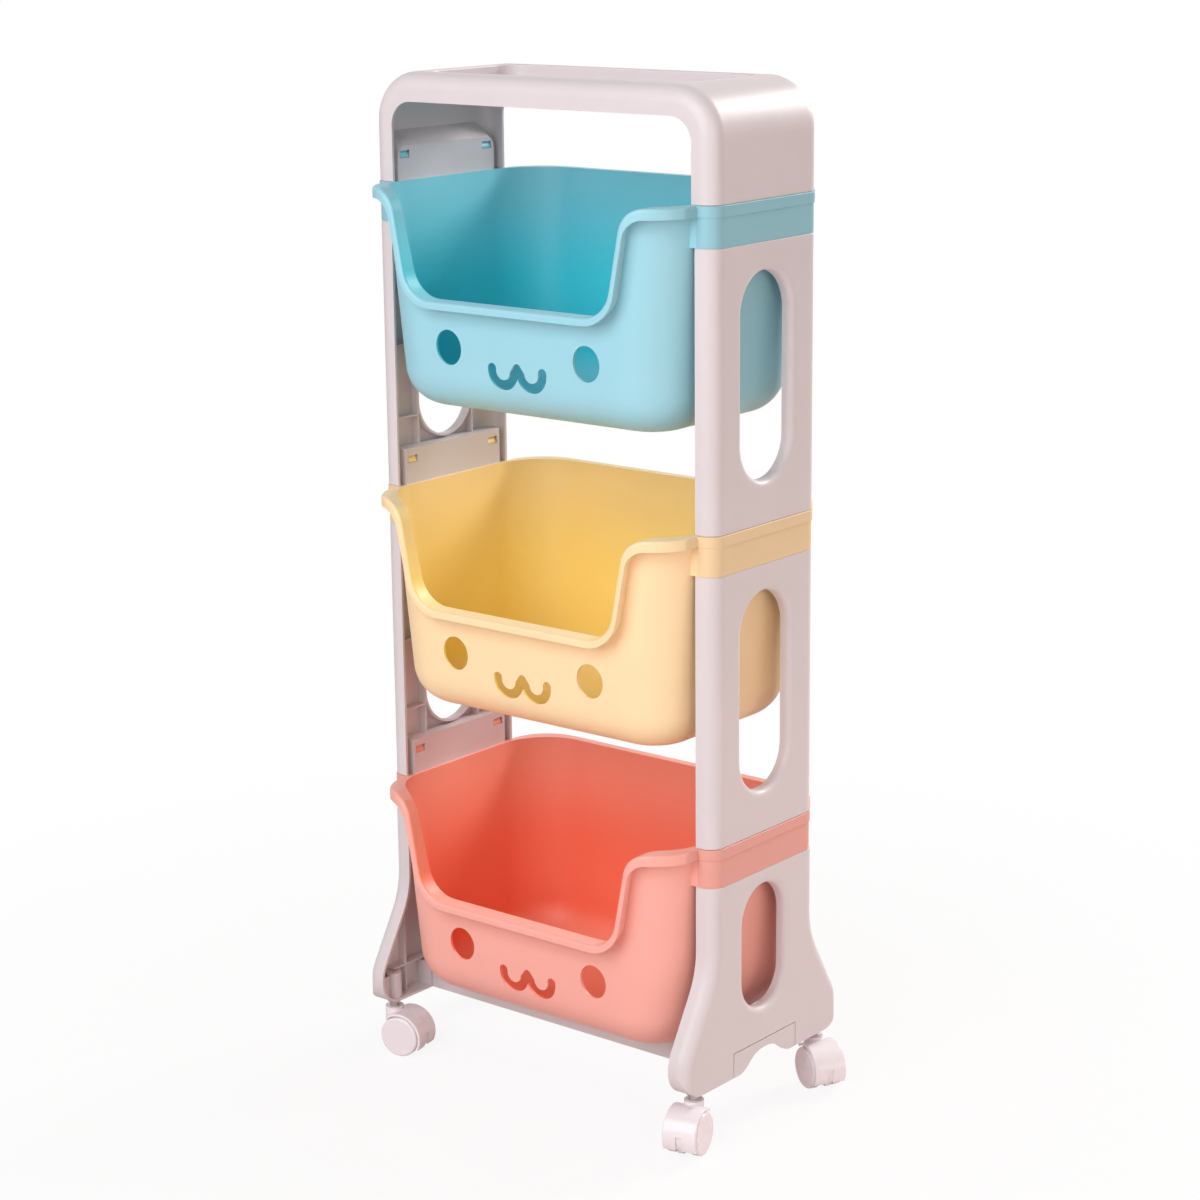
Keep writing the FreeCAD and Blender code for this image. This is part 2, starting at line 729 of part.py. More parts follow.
def foot_block(inset, x0, x1, edge_radius):
    """Solid foot with its front and back outer edges rounded."""
    blocks = []
    for toes in (False, True):
        face = Part.Face(foot_outline(inset, toes))
        face.translate(Vector(x0, 0, 0))
        blocks.append(face.extrude(Vector(x1 - x0, 0, 0)))
    edges = []
    for edge in blocks[0].Edges:
        on_outer_face = edge.BoundBox.XMin > x1 - 0.01
        middle = edge.valueAt(sum(edge.ParameterRange) / 2)
        if on_outer_face and abs(middle.y) > half_depth - inset - 0.5:
            edges.append(edge)
    return blocks[0].makeFillet(edge_radius, edges).common(blocks[1])


def make_foot():
    """Right-hand foot with hand hole, caster sockets and the notch for the cross beam."""
    outer = soft_ends(foot_block(0, inner_x, outer_x, foot_edge_radius), [foot_top], inner_x, seam_radius)
    hollow = foot_block(wall, inner_x - 1, skin_x, foot_edge_radius - wall)
    low = foot_hole_low
    high = foot_hole_high
    notch_half = beam_half_depth + fit_gap
    saddle_half = notch_half + saddle_wall
    saddle = box(inner_x, skin_x + bite, -saddle_half, saddle_half, foot_bottom, beam_top + saddle_wall)
    ribs = hole_ribs(foot_hole_radius, low, high, beam_top + 1, foot_top - wall / 2,
                     [high - foot_hole_radius])
    sockets = []
    rib_x = outer_x - tunnel_depth
    rib_z = beam_top + foot_rib_rise
    for sign in (-1, 1):
        y = sign * caster_y
        sockets.append(rod_z(socket_radius, caster_x, y, foot_bottom, stem_top + socket_cap))
        ribs.append(box(caster_x, skin_x + bite, y - socket_web / 2, y + socket_web / 2, foot_bottom + 1,
                        stem_top + socket_cap))
        toe_y = sign * (foot_half_length - wall / 2)
        ribs.append(box(caster_x - toe_web / 2, caster_x + toe_web / 2, min(y, toe_y), max(y, toe_y),
                        foot_bottom + 1, foot_bottom + toe_radius + flare_rise))
        hole_y = sign * foot_hole_radius
        ribs.append(box(rib_x, skin_x + bite, min(y, hole_y), max(y, hole_y), rib_z - rib / 2,
                        rib_z + rib / 2))
        edge_y = sign * (half_depth - wall / 2)
        ribs.append(box(rib_x, skin_x + bite, edge_y - rib / 2, edge_y + rib / 2, foot_bottom + 1,
                        foot_top - wall / 2))
    ribs = [piece.common(outer) for piece in ribs]
    body = joined([outer.cut(hollow), plug(foot_top), saddle] + ribs + sockets)
    body = body.cut(box(inner_x - cut_over, outer_x + cut_over, -notch_half, notch_half,
                        foot_bottom - cut_over, beam_top))
    for sign in (-1, 1):
        bore = rod_z(stem_radius, caster_x, sign * caster_y, foot_bottom - cut_over, stem_top + fit_gap)
        body = body.cut(bore)
    return cut_hand_hole(body, foot_hole_radius, low, high)


def make_beam():
    """Cross beam: a channel open below whose ends show flush through the feet."""
    z0 = foot_bottom
    z1 = beam_top
    block = box(-outer_x, outer_x, -beam_half_depth, beam_half_depth, z0, z1)
    hollow = box(-skin_x, skin_x, -beam_half_depth + wall, beam_half_depth - wall, z0 - 1, z1 - wall)
    rib_pitch = cart_width / 5
    ribs = [box(x - rib / 2, x + rib / 2, -beam_half_depth + 1, beam_half_depth - 1, z0 + beam_rib_clear,
                z1 - 1)
            for x in (-1.5 * rib_pitch, -0.5 * rib_pitch, 0.5 * rib_pitch, 1.5 * rib_pitch)]
    body = joined([block.cut(hollow)] + ribs)
    crown = z0 + beam_notch_height
    half = [Vector(0, beam_notch_half - beam_notch_shoulder, crown - beam_notch_soft),
            Vector(0, beam_notch_half, z0 + beam_notch_soft),
            Vector(0, beam_notch_half + beam_notch_toe, z0)]
    points = [Vector(0, -point.y, point.z) for point in reversed(half)] + [Vector(0, 0, crown)] + half
    curve = Part.BSplineCurve()
    curve.interpolate(points)
    drop = Vector(0, 0, cut_over)
    base = Part.makePolygon([points[-1], points[-1] - drop, points[0] - drop, points[0]])
    wire = Part.Wire(Part.__sortEdges__([curve.toShape()] + base.Edges))
    arch = Part.Face(wire)
    for sign in (-1, 1):
        x0, x1 = sorted((sign * (skin_x - bite), sign * (outer_x + 1)))
        side = beam_half_depth - beam_end_seam
        frame = box(x0, x1, -far_y, far_y, z0 - 1, z1 + 1)
        body = body.cut(frame.cut(box(x0 - 1, x1 + 1, -side, side, z0 - 2, z1 - beam_end_seam)))
    for x in (-outer_x - 1, skin_x - 1):
        piece = arch.copy()
        piece.translate(Vector(x, 0, 0))
        body = body.cut(piece.extrude(Vector(wall + 2, 0, 0)))
    return body


def make_stem():
    """Steel caster stem: pressed into the foot above, a bearing for the hood below."""
    collar_low = foot_bottom - stem_collar
    pieces = [
        rod_z(stem_radius, 0, 0, stem_bottom, stem_top),
        rod_z(stem_neck_radius, 0, 0, hood_top + fit_gap, collar_low + bite),
        rod_z(stem_collar_radius, 0, 0, collar_low, foot_bottom),
    ]
    stem = joined(pieces)
    ends = [edge for edge in stem.Edges
            if edge.BoundBox.ZLength < 0.01 and (edge.BoundBox.ZMin > stem_top - 0.01
                                                 or edge.BoundBox.ZMax < stem_bottom + 0.01)]
    return stem.makeChamfer(stem_chamfer, ends)


def make_hood():
    """Caster hood: stem boss, centre web, axle hub and the fender over both wheels."""
    axle_x = caster_trail
    axle_z = wheel_radius
    half = hood_half_width
    fender = rod_y(hood_outer_radius, axle_x, axle_z, -half, half)
    fender = fender.cut(rod_y(hood_inner_radius, axle_x, axle_z, -half - 1, half + 1))
    sweep = 3 * wheel_radius
    notch_top = axle_z + hood_web_half
    notch = box(axle_x, axle_x + 2 * wheel_radius, -hood_web_half, hood_web_half, -wheel_radius, notch_top)
    fender = fender.cut(notch)
    wedge = []
    side = -half - cut_over
    for angle in (fender_front_angle, fender_back_angle):
        turn = math.radians(angle)
        wedge.append(Vector(axle_x + sweep * math.cos(turn), side, axle_z + sweep * math.sin(turn)))
    hub = Vector(axle_x, side, axle_z)
    corner = Vector(axle_x + sweep, side, axle_z + sweep * 1.2)
    keep = Part.Face(Part.makePolygon([hub, wedge[0], corner, wedge[1], hub]))
    keep = keep.extrude(Vector(0, -2 * side, 0))
    fender = fender.common(keep)
    rims = [edge for edge in fender.Edges if edge.BoundBox.YLength < 0.01
            and edge.Length > 2 * wheel_radius
            and edge.BoundBox.ZMax > axle_z + hood_outer_radius - 0.1]
    fender = fender.makeFillet(fender_soft_edge, rims)
    boss_low = stem_bottom - hood_boss_drop
    boss = rod_z(hood_boss_radius, 0, 0, boss_low, hood_top)
    web = rod_y(hood_inner_radius + bite, axle_x, axle_z, -hood_web_half, hood_web_half)
    web = web.cut(box(-sweep, sweep, -half, half, -sweep, hood_web_low))
    web = web.fuse(box(-hood_hub_radius, axle_x, -hood_web_half, hood_web_half, boss_low, 2 * wheel_radius))
    axle_hub = rod_y(hood_hub_radius, axle_x, axle_z, -hood_hub_half, hood_hub_half)
    for sign in (-1, 1):
        y0, y1 = sorted((sign * hood_hub_half, sign * half))
        boss = boss.cut(rod_y(wheel_radius + hood_to_wheel - fit_gap, axle_x, axle_z, y0, y1))
    hood = joined([fender, boss, web, axle_hub])
    hood = hood.cut(rod_z(stem_radius + running_gap, 0, 0, stem_bottom - fit_gap, hood_top + cut_over))
    return hood.cut(rod_y(axle_radius, axle_x, axle_z, -half, half))


def make_axle():
    """Steel axle pin of one caster."""
    pin = rod_y(axle_radius, caster_trail, wheel_radius, -axle_half_length, axle_half_length)
    ends = [edge for edge in pin.Edges if edge.BoundBox.YLength < 0.01]
    return pin.makeChamfer(axle_chamfer, ends)


def make_wheel(sign):
    """Closed-disc caster wheel on one side of the hood."""
    face = wheel_inner_face + wheel_width
    tyre = rod_y(wheel_radius, caster_trail, wheel_radius, wheel_inner_face, face)
    rims = [edge for edge in tyre.Edges if edge.BoundBox.YLength < 0.01]
    tyre = tyre.makeFillet(wheel_edge_radius, rims)
    inside = wheel_inner_face
    deep = inside + wheel_recess
    recess = rod_y(wheel_radius - wheel_rim, caster_trail, wheel_radius, inside - 1, deep)
    hub = rod_y(axle_radius + wheel_hub_wall, caster_trail, wheel_radius, inside - 2, deep + 1)
    recess = recess.cut(hub)
    bore = rod_y(axle_radius + running_gap, caster_trail, wheel_radius, inside - 1,
                 axle_half_length + fit_gap)
    wheel = tyre.cut(recess).cut(bore)
    if sign < 0:
        wheel = wheel.mirror(Vector(0, 0, 0), Vector(0, 1, 0))
    return wheel


def placed(shape, x, y, angle):
    """Copy of a caster piece turned about its swivel axis and moved under its foot."""
    copy = shape.copy()
    copy.rotate(Vector(0, 0, 0), Vector(0, 0, 1), angle)
    copy.translate(Vector(x, y, 0))
    return copy


def lifted(shape, height):
    """Copy of a piece moved up."""
    copy = shape.copy()
    copy.translate(Vector(0, 0, height))
    return copy


def build_parts():
    """Every node of the cart by name."""
    parts = {"top_frame": make_top_frame()}
    bin_shape = make_bin()
    for name, height in zip(("bin_bottom", "bin_middle", "bin_top"), rim_heights):
        parts[name] = lifted(bin_shape, height)
    for name, height in zip(("lower_panel", "upper_panel"), rim_heights):
        panel = make_panel(height)
        parts[name + "_right"] = panel
        parts[name + "_left"] = mirrored(panel)
    foot = make_foot()
    parts["foot_right"] = foot
    parts["foot_left"] = mirrored(foot)
    parts["cross_beam"] = make_beam()
    caster = {
        "stem": make_stem(),
        "hood": make_hood(),
        "axle": make_axle(),
        "wheel_a": make_wheel(1),
        "wheel_b": make_wheel(-1),
    }
    for place, angle in caster_angles.items():
        x = caster_x if "right" in place else -caster_x
        y = -caster_y if "front" in place else caster_y
        for piece, shape in caster.items():
            parts["caster_" + place + "_" + piece] = placed(shape, x, y, angle)
    return parts


os.makedirs("parts", exist_ok=True)
for node, shape in build_parts().items():
    solids = shape.Solids
    print(node, "solids", len(solids), "valid", shape.isValid(), "volume", round(shape.Volume))
    if len(solids) == 1:
        shape = solids[0]
    shape.exportStep("parts/" + node + ".step")
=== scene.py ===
# %% [markdown]
# A rolling storage cart, dressed on its imported frame
#
# The cart is a stack of injection-moulded pieces: an ivory frame, three coloured bins and four
# small casters. This lesson keeps those meshes as they are and gives each one the plastic or
# steel that it is made of. A model like this could also be sculpted from scratch, but then its
# looks and its joints would drift apart.

# %% Load the frame and its record
import json
import math

import bpy
from mathutils import Matrix, Vector

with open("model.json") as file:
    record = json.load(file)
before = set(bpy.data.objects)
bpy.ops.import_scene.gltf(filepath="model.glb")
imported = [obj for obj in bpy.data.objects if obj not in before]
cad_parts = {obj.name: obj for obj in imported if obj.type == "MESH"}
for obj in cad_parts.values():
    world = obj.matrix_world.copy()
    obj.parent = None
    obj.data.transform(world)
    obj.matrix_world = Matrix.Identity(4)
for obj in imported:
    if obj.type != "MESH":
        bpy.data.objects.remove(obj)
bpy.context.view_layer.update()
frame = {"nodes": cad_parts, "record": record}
nodes = frame["nodes"]
print("mouldings and fittings:", len(nodes))

# %% [markdown]
# Colours are easiest to choose as the hex values that a paint program shows, which are sRGB.
# Blender's shaders work in linear light, so one small function turns the one into the other,
# with the numbers of the sRGB standard. Linear numbers could be typed as well,
# but they say little to the eye.

# %% Turn a hex colour into linear light


def linear(hex_colour):
    """Linear RGBA of an sRGB hex colour such as #EDE3E3."""
    channels = []
    for start in (1, 3, 5):
        value = int(hex_colour[start:start + 2], 16) / 255
        if value <= 0.04045:
            channels.append(value / 12.92)
        else:
            channels.append(((value + 0.055) / 1.055) ** 2.4)
    return (*channels, 1.0)


print("mid grey in linear light:", [round(value, 3) for value in linear("#808080")[:3]])

# %% [markdown]
# Every material below is a small graph of nodes. Writing each node out takes four or five lines,
# so one helper makes a node, fills in its settings and joins the sockets that feed it.
# A setting whose name is an input socket goes to that socket, and any other goes to the node.
# Blender puts some nodes into a new graph by itself, so a second helper clears them out first.

# %% Start a graph and add one node to it


def empty_graph(block):
    """Node tree of a new material or world, without the nodes that Blender put there."""
    block.use_nodes = True
    block.node_tree.nodes.clear()
    return block.node_tree


def add_node(tree, kind, settings, links):
    """A new node, with settings on its inputs or itself, fed by other nodes' outputs."""
    node = tree.nodes.new(kind)
    for key, value in settings.items():
        if isinstance(key, int) or key in node.inputs:
            node.inputs[key].default_value = value
        else:
            setattr(node, key, value)
    for key, source in links.items():
        tree.links.new(source, node.inputs[key])
    return node


print("helpers:", empty_graph.__name__, add_node.__name__)

# %% [markdown]
# A pattern looks right only at its real size. Blender's noise repeats about once per unit
# at a scale of 1, and a unit here is a metre, so a size in millimetres gives the scale.
# Scales could be guessed by eye, but then every change of the cart's size would spoil them.

# %% Scale a pattern from millimetres

mm = 0.001


def per_metre(millimetres):
    """Texture scale that repeats a pattern about once in the given number of millimetres."""
    return 1000.0 / millimetres


print("a 2 mm pattern has the scale", per_metre(2.0))

# %% [markdown]
# The frame and the bins are moulded polypropylene, the usual plastic of storage bins.
# Its melt fills a steel mould whose faces were spark-eroded to a fine matt grain,
# so the skin is satin: soft wide highlights, no sharp reflections, a faint grain close up.
# Where the melt cooled at different speeds the tone and the gloss drift a little
# over some tens of millimetres, and the wall bows by about a tenth of a millimetre,
# which bends the highlights. A flat colour would miss all three, and an image texture
# would need unwrapping, so noise in object space is used.

# %% Moulded polypropylene, satin from a spark-eroded mould

polypropylene_ior = 1.49
frame_roughness = 0.40
flow_size_mm = 85.0
flow_tone = 0.95                    # how much of the light tone the deeper clouds keep
gloss_patch_mm = 30.0
gloss_drift = 0.05                  # how far the roughness wanders to each side
noise_low, noise_high = 0.3, 0.7    # most values of a noise lie between these
grain_size_mm = 1.1                 # really near 0.2 mm, which is too fine for the render
grain_depth = 0.05 * mm
grain_strength = 0.35
bow_size_mm = 70.0
bow_depth = 0.6 * mm
bow_strength = 0.5
mix_factor = 0                      # a Mix node's sockets share names, so numbers pick them
colour_first, colour_second, colour_result = 6, 7, 2


def moulded_plastic(name, hex_colour, ior, roughness, depth):
    """Moulded plastic: two near tones in slow clouds, drifting gloss, grain of a depth, a bow."""
    material = bpy.data.materials.new(name)
    tree = empty_graph(material)
    place = add_node(tree, "ShaderNodeTexCoord", {}, {}).outputs["Object"]
    flow = add_node(tree, "ShaderNodeTexNoise",
                    {"Scale": per_metre(flow_size_mm), "Detail": 3.0, "Roughness": 0.55},
                    {"Vector": place})
    light = linear(hex_colour)
    deep = (*(value * flow_tone for value in light[:3]), 1.0)
    tone = add_node(tree, "ShaderNodeMix",
                    {"data_type": "RGBA", colour_first: deep, colour_second: light},
                    {mix_factor: flow.outputs["Fac"]})
    patch = add_node(tree, "ShaderNodeTexNoise",
                     {"Scale": per_metre(gloss_patch_mm), "Detail": 2.0}, {"Vector": place})
    gloss = add_node(tree, "ShaderNodeMapRange",
                     {"From Min": noise_low, "From Max": noise_high,
                      "To Min": roughness - gloss_drift, "To Max": roughness + gloss_drift},
                     {"Value": patch.outputs["Fac"]})
    grain = add_node(tree, "ShaderNodeTexNoise",
                     {"Scale": per_metre(grain_size_mm), "Detail": 2.0}, {"Vector": place})
    fine = add_node(tree, "ShaderNodeBump", {"Strength": grain_strength, "Distance": depth},
                    {"Height": grain.outputs["Fac"]})
    bow = add_node(tree, "ShaderNodeTexNoise",
                   {"Scale": per_metre(bow_size_mm), "Detail": 1.0}, {"Vector": place})
    wave = add_node(tree, "ShaderNodeBump", {"Strength": bow_strength, "Distance": bow_depth},
                    {"Height": bow.outputs["Fac"], "Normal": fine.outputs["Normal"]})
    skin = add_node(tree, "ShaderNodeBsdfPrincipled", {"IOR": ior},
                    {"Base Color": tone.outputs[colour_result],
                     "Roughness": gloss.outputs["Result"], "Normal": wave.outputs["Normal"]})
    add_node(tree, "ShaderNodeOutputMaterial", {}, {"Surface": skin.outputs["BSDF"]})
    return material


ivory = moulded_plastic("ivory_moulded_polypropylene", "#DCD2D4", polypropylene_ior,
                        frame_roughness, grain_depth)
print("frame plastic:", ivory.name, "with", len(ivory.node_tree.nodes), "nodes")

# %% [markdown]
# The bins are the same plastic with a coloured pigment, but their two faces are given two tones.
# The outside keeps the plastic's own pale colour. The inside gets painted shade: a deeper tone
# standing in for the shade down in a bin, where the light has taken up colour from the walls.
# Which face a point is on follows from its normal: on an inside wall the normal points
# at the bin's own middle, so its dot product with the place, measured from that middle,
# is negative. Two materials on picked faces could do the same, but they would have to be
# picked again after every change of the shape.

# %% Tell the inside of a bin from its outside

middle_depth = 0.12        # metres under the rim at which the bin's middle is taken
mask_edge = 0.012          # metres to each side of zero over which one face becomes the other


def inside_of_bin(tree, where, rim_height):
    """Socket that is 1 on faces turned to the bin's middle and 0 on those turned away."""
    bin_middle = (0, 0, rim_height - middle_depth)
    from_middle = add_node(tree, "ShaderNodeVectorMath",
                           {"operation": "SUBTRACT", 1: bin_middle},
                           {0: where.outputs["Object"]})
    facing = add_node(tree, "ShaderNodeVectorMath", {"operation": "DOT_PRODUCT"},
                      {0: from_middle.outputs["Vector"], 1: where.outputs["Normal"]})
    inside = add_node(tree, "ShaderNodeMapRange",
                      {"From Min": mask_edge, "From Max": -mask_edge},
                      {"Value": facing.outputs["Value"]})
    return inside.outputs["Result"]


print("a bin's middle is taken", middle_depth, "m under its rim")

# %% [markdown]
# Down in a bin the light has gone from wall to wall and taken up colour each time.
# A render follows only a few of those bounces, so the inside tone is helped along:
# palest under the rim, deepest from the middle down, and pale again on the floor,
# which faces up into the light.

# %% Measure how deep a wall lies in its bin

deep_from = 0.11           # metres under the rim at which the inside has its deepest tone
floor_tilt = 0.9           # upward part of the normal from which a face is all floor
wall_tilt = 0.3            # upward part of the normal up to which it is all wall


def depth_in_bin(tree, where, rim_height):
    """Socket that grows from 0 at the rim to 1 deep down on the walls, and is 0 on the floor."""
    place = add_node(tree, "ShaderNodeSeparateXYZ", {}, {0: where.outputs["Object"]})
    depth = add_node(tree, "ShaderNodeMapRange",
                     {"interpolation_type": "SMOOTHSTEP", "From Min": rim_height,
                      "From Max": rim_height - deep_from}, {"Value": place.outputs["Z"]})
    normal = add_node(tree, "ShaderNodeSeparateXYZ", {}, {0: where.outputs["Normal"]})
    not_floor = add_node(tree, "ShaderNodeMapRange",
                         {"From Min": floor_tilt, "From Max": wall_tilt},
                         {"Value": normal.outputs["Z"]})
    wall_depth = add_node(tree, "ShaderNodeMath", {"operation": "MULTIPLY"},
                          {0: depth.outputs["Result"], 1: not_floor.outputs["Result"]})
    return wall_depth.outputs["Value"]


print("the inside is deepest from", deep_from, "m under the rim")

# %% [markdown]
# The bands at a bin's two sides get painted shade as well: their tone is made deeper for the
# shade there, where the end of a panel stands behind them and no light comes through.
# They could be a material of their own, but they are one moulding with the bin,
# so their distance from the cart's middle plane picks them out.

# %% Shade the side bands of a bin

band_from = 0.1755         # metres from the cart's middle plane at which the bands begin
band_edge = 0.001          # metres over which their shade sets in
band_shade = 0.84          # how much of the wall's tone a band keeps


def shaded_bands(tree, where, tone):
    """Socket with the given tone, with painted shade deepening it on the side bands."""
    place = add_node(tree, "ShaderNodeSeparateXYZ", {}, {0: where.outputs["Object"]})
    across = add_node(tree, "ShaderNodeMath", {"operation": "ABSOLUTE"}, {0: place.outputs["X"]})
    band = add_node(tree, "ShaderNodeMapRange",
                    {"From Min": band_from, "From Max": band_from + band_edge},
                    {"Value": across.outputs["Value"]})
    # painted shade: the side bands keep only part of the wall's tone
    wall_tone = add_node(tree, "ShaderNodeMix",
                         {"data_type": "RGBA", "blend_type": "MULTIPLY",
                          colour_second: (band_shade, band_shade, band_shade, 1.0)},
                         {mix_factor: band.outputs["Result"], colour_first: tone})
    return wall_tone.outputs[colour_result]


print("a side band keeps", band_shade, "of the wall's tone")

# %% [markdown]
# Now the three measures come together. The graph of the plain moulded plastic is made first,
# and its tone and gloss are then led through two more mixes on their way to the shader.
# A second full graph would do as well, but it would repeat the grain and the bow.
# The rim heights come from the record's openings, so each bin's tones follow its real place.

# %% Pigmented polypropylene, paler outside and with painted shade inside

outside_roughness = 0.42
inside_roughness = 0.46
number_first, number_second, number_result = 2, 3, 0


def bin_polypropylene(name, hex_outside, hex_rim_shade, hex_deep_shade, rim_height):
    """Moulded plastic for a bin with its rim at the given height in metres, painted shade inside.
    """
    material = moulded_plastic(name, hex_outside, polypropylene_ior, outside_roughness,
                               grain_depth)
    tree = material.node_tree
    skin = tree.nodes["Principled BSDF"]
    outside_tone = skin.inputs["Base Color"].links[0].from_socket
    outside_gloss = skin.inputs["Roughness"].links[0].from_socket
    where = add_node(tree, "ShaderNodeTexCoord", {}, {})
    inside = inside_of_bin(tree, where, rim_height)
    # painted shade inside the bin, from the shade under the rim down to the deep shade
    painted_inside_shade = add_node(tree, "ShaderNodeMix",
                           {"data_type": "RGBA", colour_first: linear(hex_rim_shade),
                            colour_second: linear(hex_deep_shade)},
                           {mix_factor: depth_in_bin(tree, where, rim_height)})
    tone = add_node(tree, "ShaderNodeMix", {"data_type": "RGBA"},
                    {mix_factor: inside, colour_first: shaded_bands(tree, where, outside_tone),
                     colour_second: painted_inside_shade.outputs[colour_result]})
    gloss = add_node(tree, "ShaderNodeMix", {number_second: inside_roughness},
                     {mix_factor: inside, number_first: outside_gloss})
    tree.links.new(tone.outputs[colour_result], skin.inputs["Base Color"])
    tree.links.new(gloss.outputs[number_result], skin.inputs["Roughness"])
    return material


rims = {}
for entry in frame["record"]["physics"]["openings"]:
    if entry["name"].endswith("_inside"):
        rims[entry["name"]] = entry["box_m"][1][2]
# each bin: its own outside colour, then the painted shade of its inside under the rim and deep
# down
blue = bin_polypropylene("blue_moulded_polypropylene", "#9ED4E2", "#84D4E2", "#44CCDA",
                         rims["bin_top_inside"])
yellow = bin_polypropylene("yellow_moulded_polypropylene", "#FFDFB0", "#FFDE98", "#FFDE7E",
                           rims["bin_middle_inside"])
coral = bin_polypropylene("coral_moulded_polypropylene", "#FAB0A3", "#F6A08A", "#F67F63",
                          rims["bin_bottom_inside"])
print("rim heights in metres:", rims)
print("bin plastics:", [material.name for material in (blue, yellow, coral)])

# %% [markdown]
# The casters are moulded in a harder plastic, nylon, from a polished mould,
# so they are glossier than the frame and show less grain.
# Its graph could be drawn afresh, but only the numbers differ, so the same function makes it.

# %% Moulded nylon, glossy from a polished mould

nylon_ior = 1.53
nylon_roughness = 0.26
nylon_grain_depth = 0.02 * mm
nylon = moulded_plastic("white_moulded_nylon", "#F1E8EC", nylon_ior, nylon_roughness,
                        nylon_grain_depth)
print("caster plastic:", nylon.name)

# %% [markdown]
# The stems and axles are turned steel rod with bright zinc plating: a metal with a faint bloom
# and fine lathe lines. A plain grey would do from afar, but a stem seen close up would look
# like plastic. The lines are drawn along Z, so they run round the upright stems,
# which show a little. The axles lie hidden between the wheels.

# %% Zinc-plated turned steel

lathe_mm = 0.8                      # really near 0.1 mm, which is too fine for the render
lathe_depth = 0.03 * mm
lathe_strength = 0.4
wave_spacing = math.tau / 20        # metres from line to line of a wave texture at scale 1
bloom_size_mm = 4.0
zinc_roughness = 0.34
zinc = bpy.data.materials.new("zinc_plated_turned_steel")
zinc_tree = empty_graph(zinc)
zinc_place = add_node(zinc_tree, "ShaderNodeTexCoord", {}, {}).outputs["Object"]
lathe_lines = add_node(zinc_tree, "ShaderNodeTexWave",
                       {"Scale": per_metre(lathe_mm) * wave_spacing, "Distortion": 1.5,
                        "bands_direction": "Z"}, {"Vector": zinc_place})
bloom = add_node(zinc_tree, "ShaderNodeTexNoise",
                 {"Scale": per_metre(bloom_size_mm), "Detail": 3.0}, {"Vector": zinc_place})
zinc_tone = add_node(zinc_tree, "ShaderNodeValToRGB", {}, {"Fac": bloom.outputs["Fac"]})
for stop, hex_colour in zip(zinc_tone.color_ramp.elements, ("#A9A39B", "#C6C2BC")):
    stop.color = linear(hex_colour)
turned = add_node(zinc_tree, "ShaderNodeBump",
                  {"Strength": lathe_strength, "Distance": lathe_depth},
                  {"Height": lathe_lines.outputs["Fac"]})
plating = add_node(zinc_tree, "ShaderNodeBsdfPrincipled",
                   {"Metallic": 1.0, "Roughness": zinc_roughness},
                   {"Base Color": zinc_tone.outputs["Color"],
                    "Normal": turned.outputs["Normal"]})
add_node(zinc_tree, "ShaderNodeOutputMaterial", {}, {"Surface": plating.outputs["BSDF"]})
print("stem and axle metal:", zinc.name)

# %% [markdown]
# Now each moulding gets its plastic. The nodes could be listed here one by one, but the record
# already says which slot a node belongs to, so the slots are matched to the materials once
# and every node follows.

# %% Give every CAD node its material

finishes = {"ivory_plastic": ivory, "blue_plastic": blue, "yellow_plastic": yellow,
            "coral_plastic": coral, "caster_plastic": nylon, "steel": zinc}
for entry in frame["record"]["subparts"]:
    moulding = nodes[entry["node"]]
    moulding.data.materials.clear()
    moulding.data.materials.append(finishes[entry["material_slot"]])

# %% [markdown]
# The cart stands in a plain white studio, on pale paper that bounces light back up.
# The camera sees it almost white, with the cart's soft shadow near the wheels,
# and further out the paper fades into the pure white of a product picture's background.
# More light could whiten it too, but that would wash out the cart,
# so only the camera's own rays see the white.

# %% Pale studio paper

fibre_size_mm = 3.0                 # soft clouds of fibre, as a single fibre is too fine to show
fade_from, fade_to = 0.25, 1.1      # metres from the cart's middle over which the paper fades
near_white = 0.90                   # how much of the white shows under the cart
paper = bpy.data.materials.new("pale_studio_paper")
paper_tree = empty_graph(paper)
paper_place = add_node(paper_tree, "ShaderNodeTexCoord", {}, {}).outputs["Object"]
fibre = add_node(paper_tree, "ShaderNodeTexNoise", {"Scale": per_metre(fibre_size_mm)},
                 {"Vector": paper_place})
paper_tone = add_node(paper_tree, "ShaderNodeMix",
                      {"data_type": "RGBA", colour_first: linear("#E6DBD8"),
                       colour_second: linear("#ECE1DE")}, {mix_factor: fibre.outputs["Fac"]})
matt = add_node(paper_tree, "ShaderNodeBsdfDiffuse", {},
                {"Color": paper_tone.outputs[colour_result]})
white = add_node(paper_tree, "ShaderNodeEmission", {"Color": (1, 1, 1, 1), "Strength": 1.0}, {})
rays = add_node(paper_tree, "ShaderNodeLightPath", {}, {})
away = add_node(paper_tree, "ShaderNodeVectorMath", {"operation": "LENGTH"}, {0: paper_place})
fade = add_node(paper_tree, "ShaderNodeMapRange",
                {"From Min": fade_from, "From Max": fade_to, "To Min": near_white,
                 "To Max": 1.0}, {"Value": away.outputs["Value"]})
seen = add_node(paper_tree, "ShaderNodeMath", {"operation": "MULTIPLY"},
                {0: rays.outputs["Is Camera Ray"], 1: fade.outputs["Result"]})
paper_mix = add_node(paper_tree, "ShaderNodeMixShader", {},
                     {0: seen.outputs["Value"], 1: matt.outputs["BSDF"],
                      2: white.outputs["Emission"]})
add_node(paper_tree, "ShaderNodeOutputMaterial", {}, {"Surface": paper_mix.outputs["Shader"]})
print("floor paper:", paper.name)

# %% [markdown]
# The floor itself is one large square whose edges lie far outside the picture. A curved
# backdrop is the other usual way, but its bend would have to be kept out of sight.

# %% Studio floor

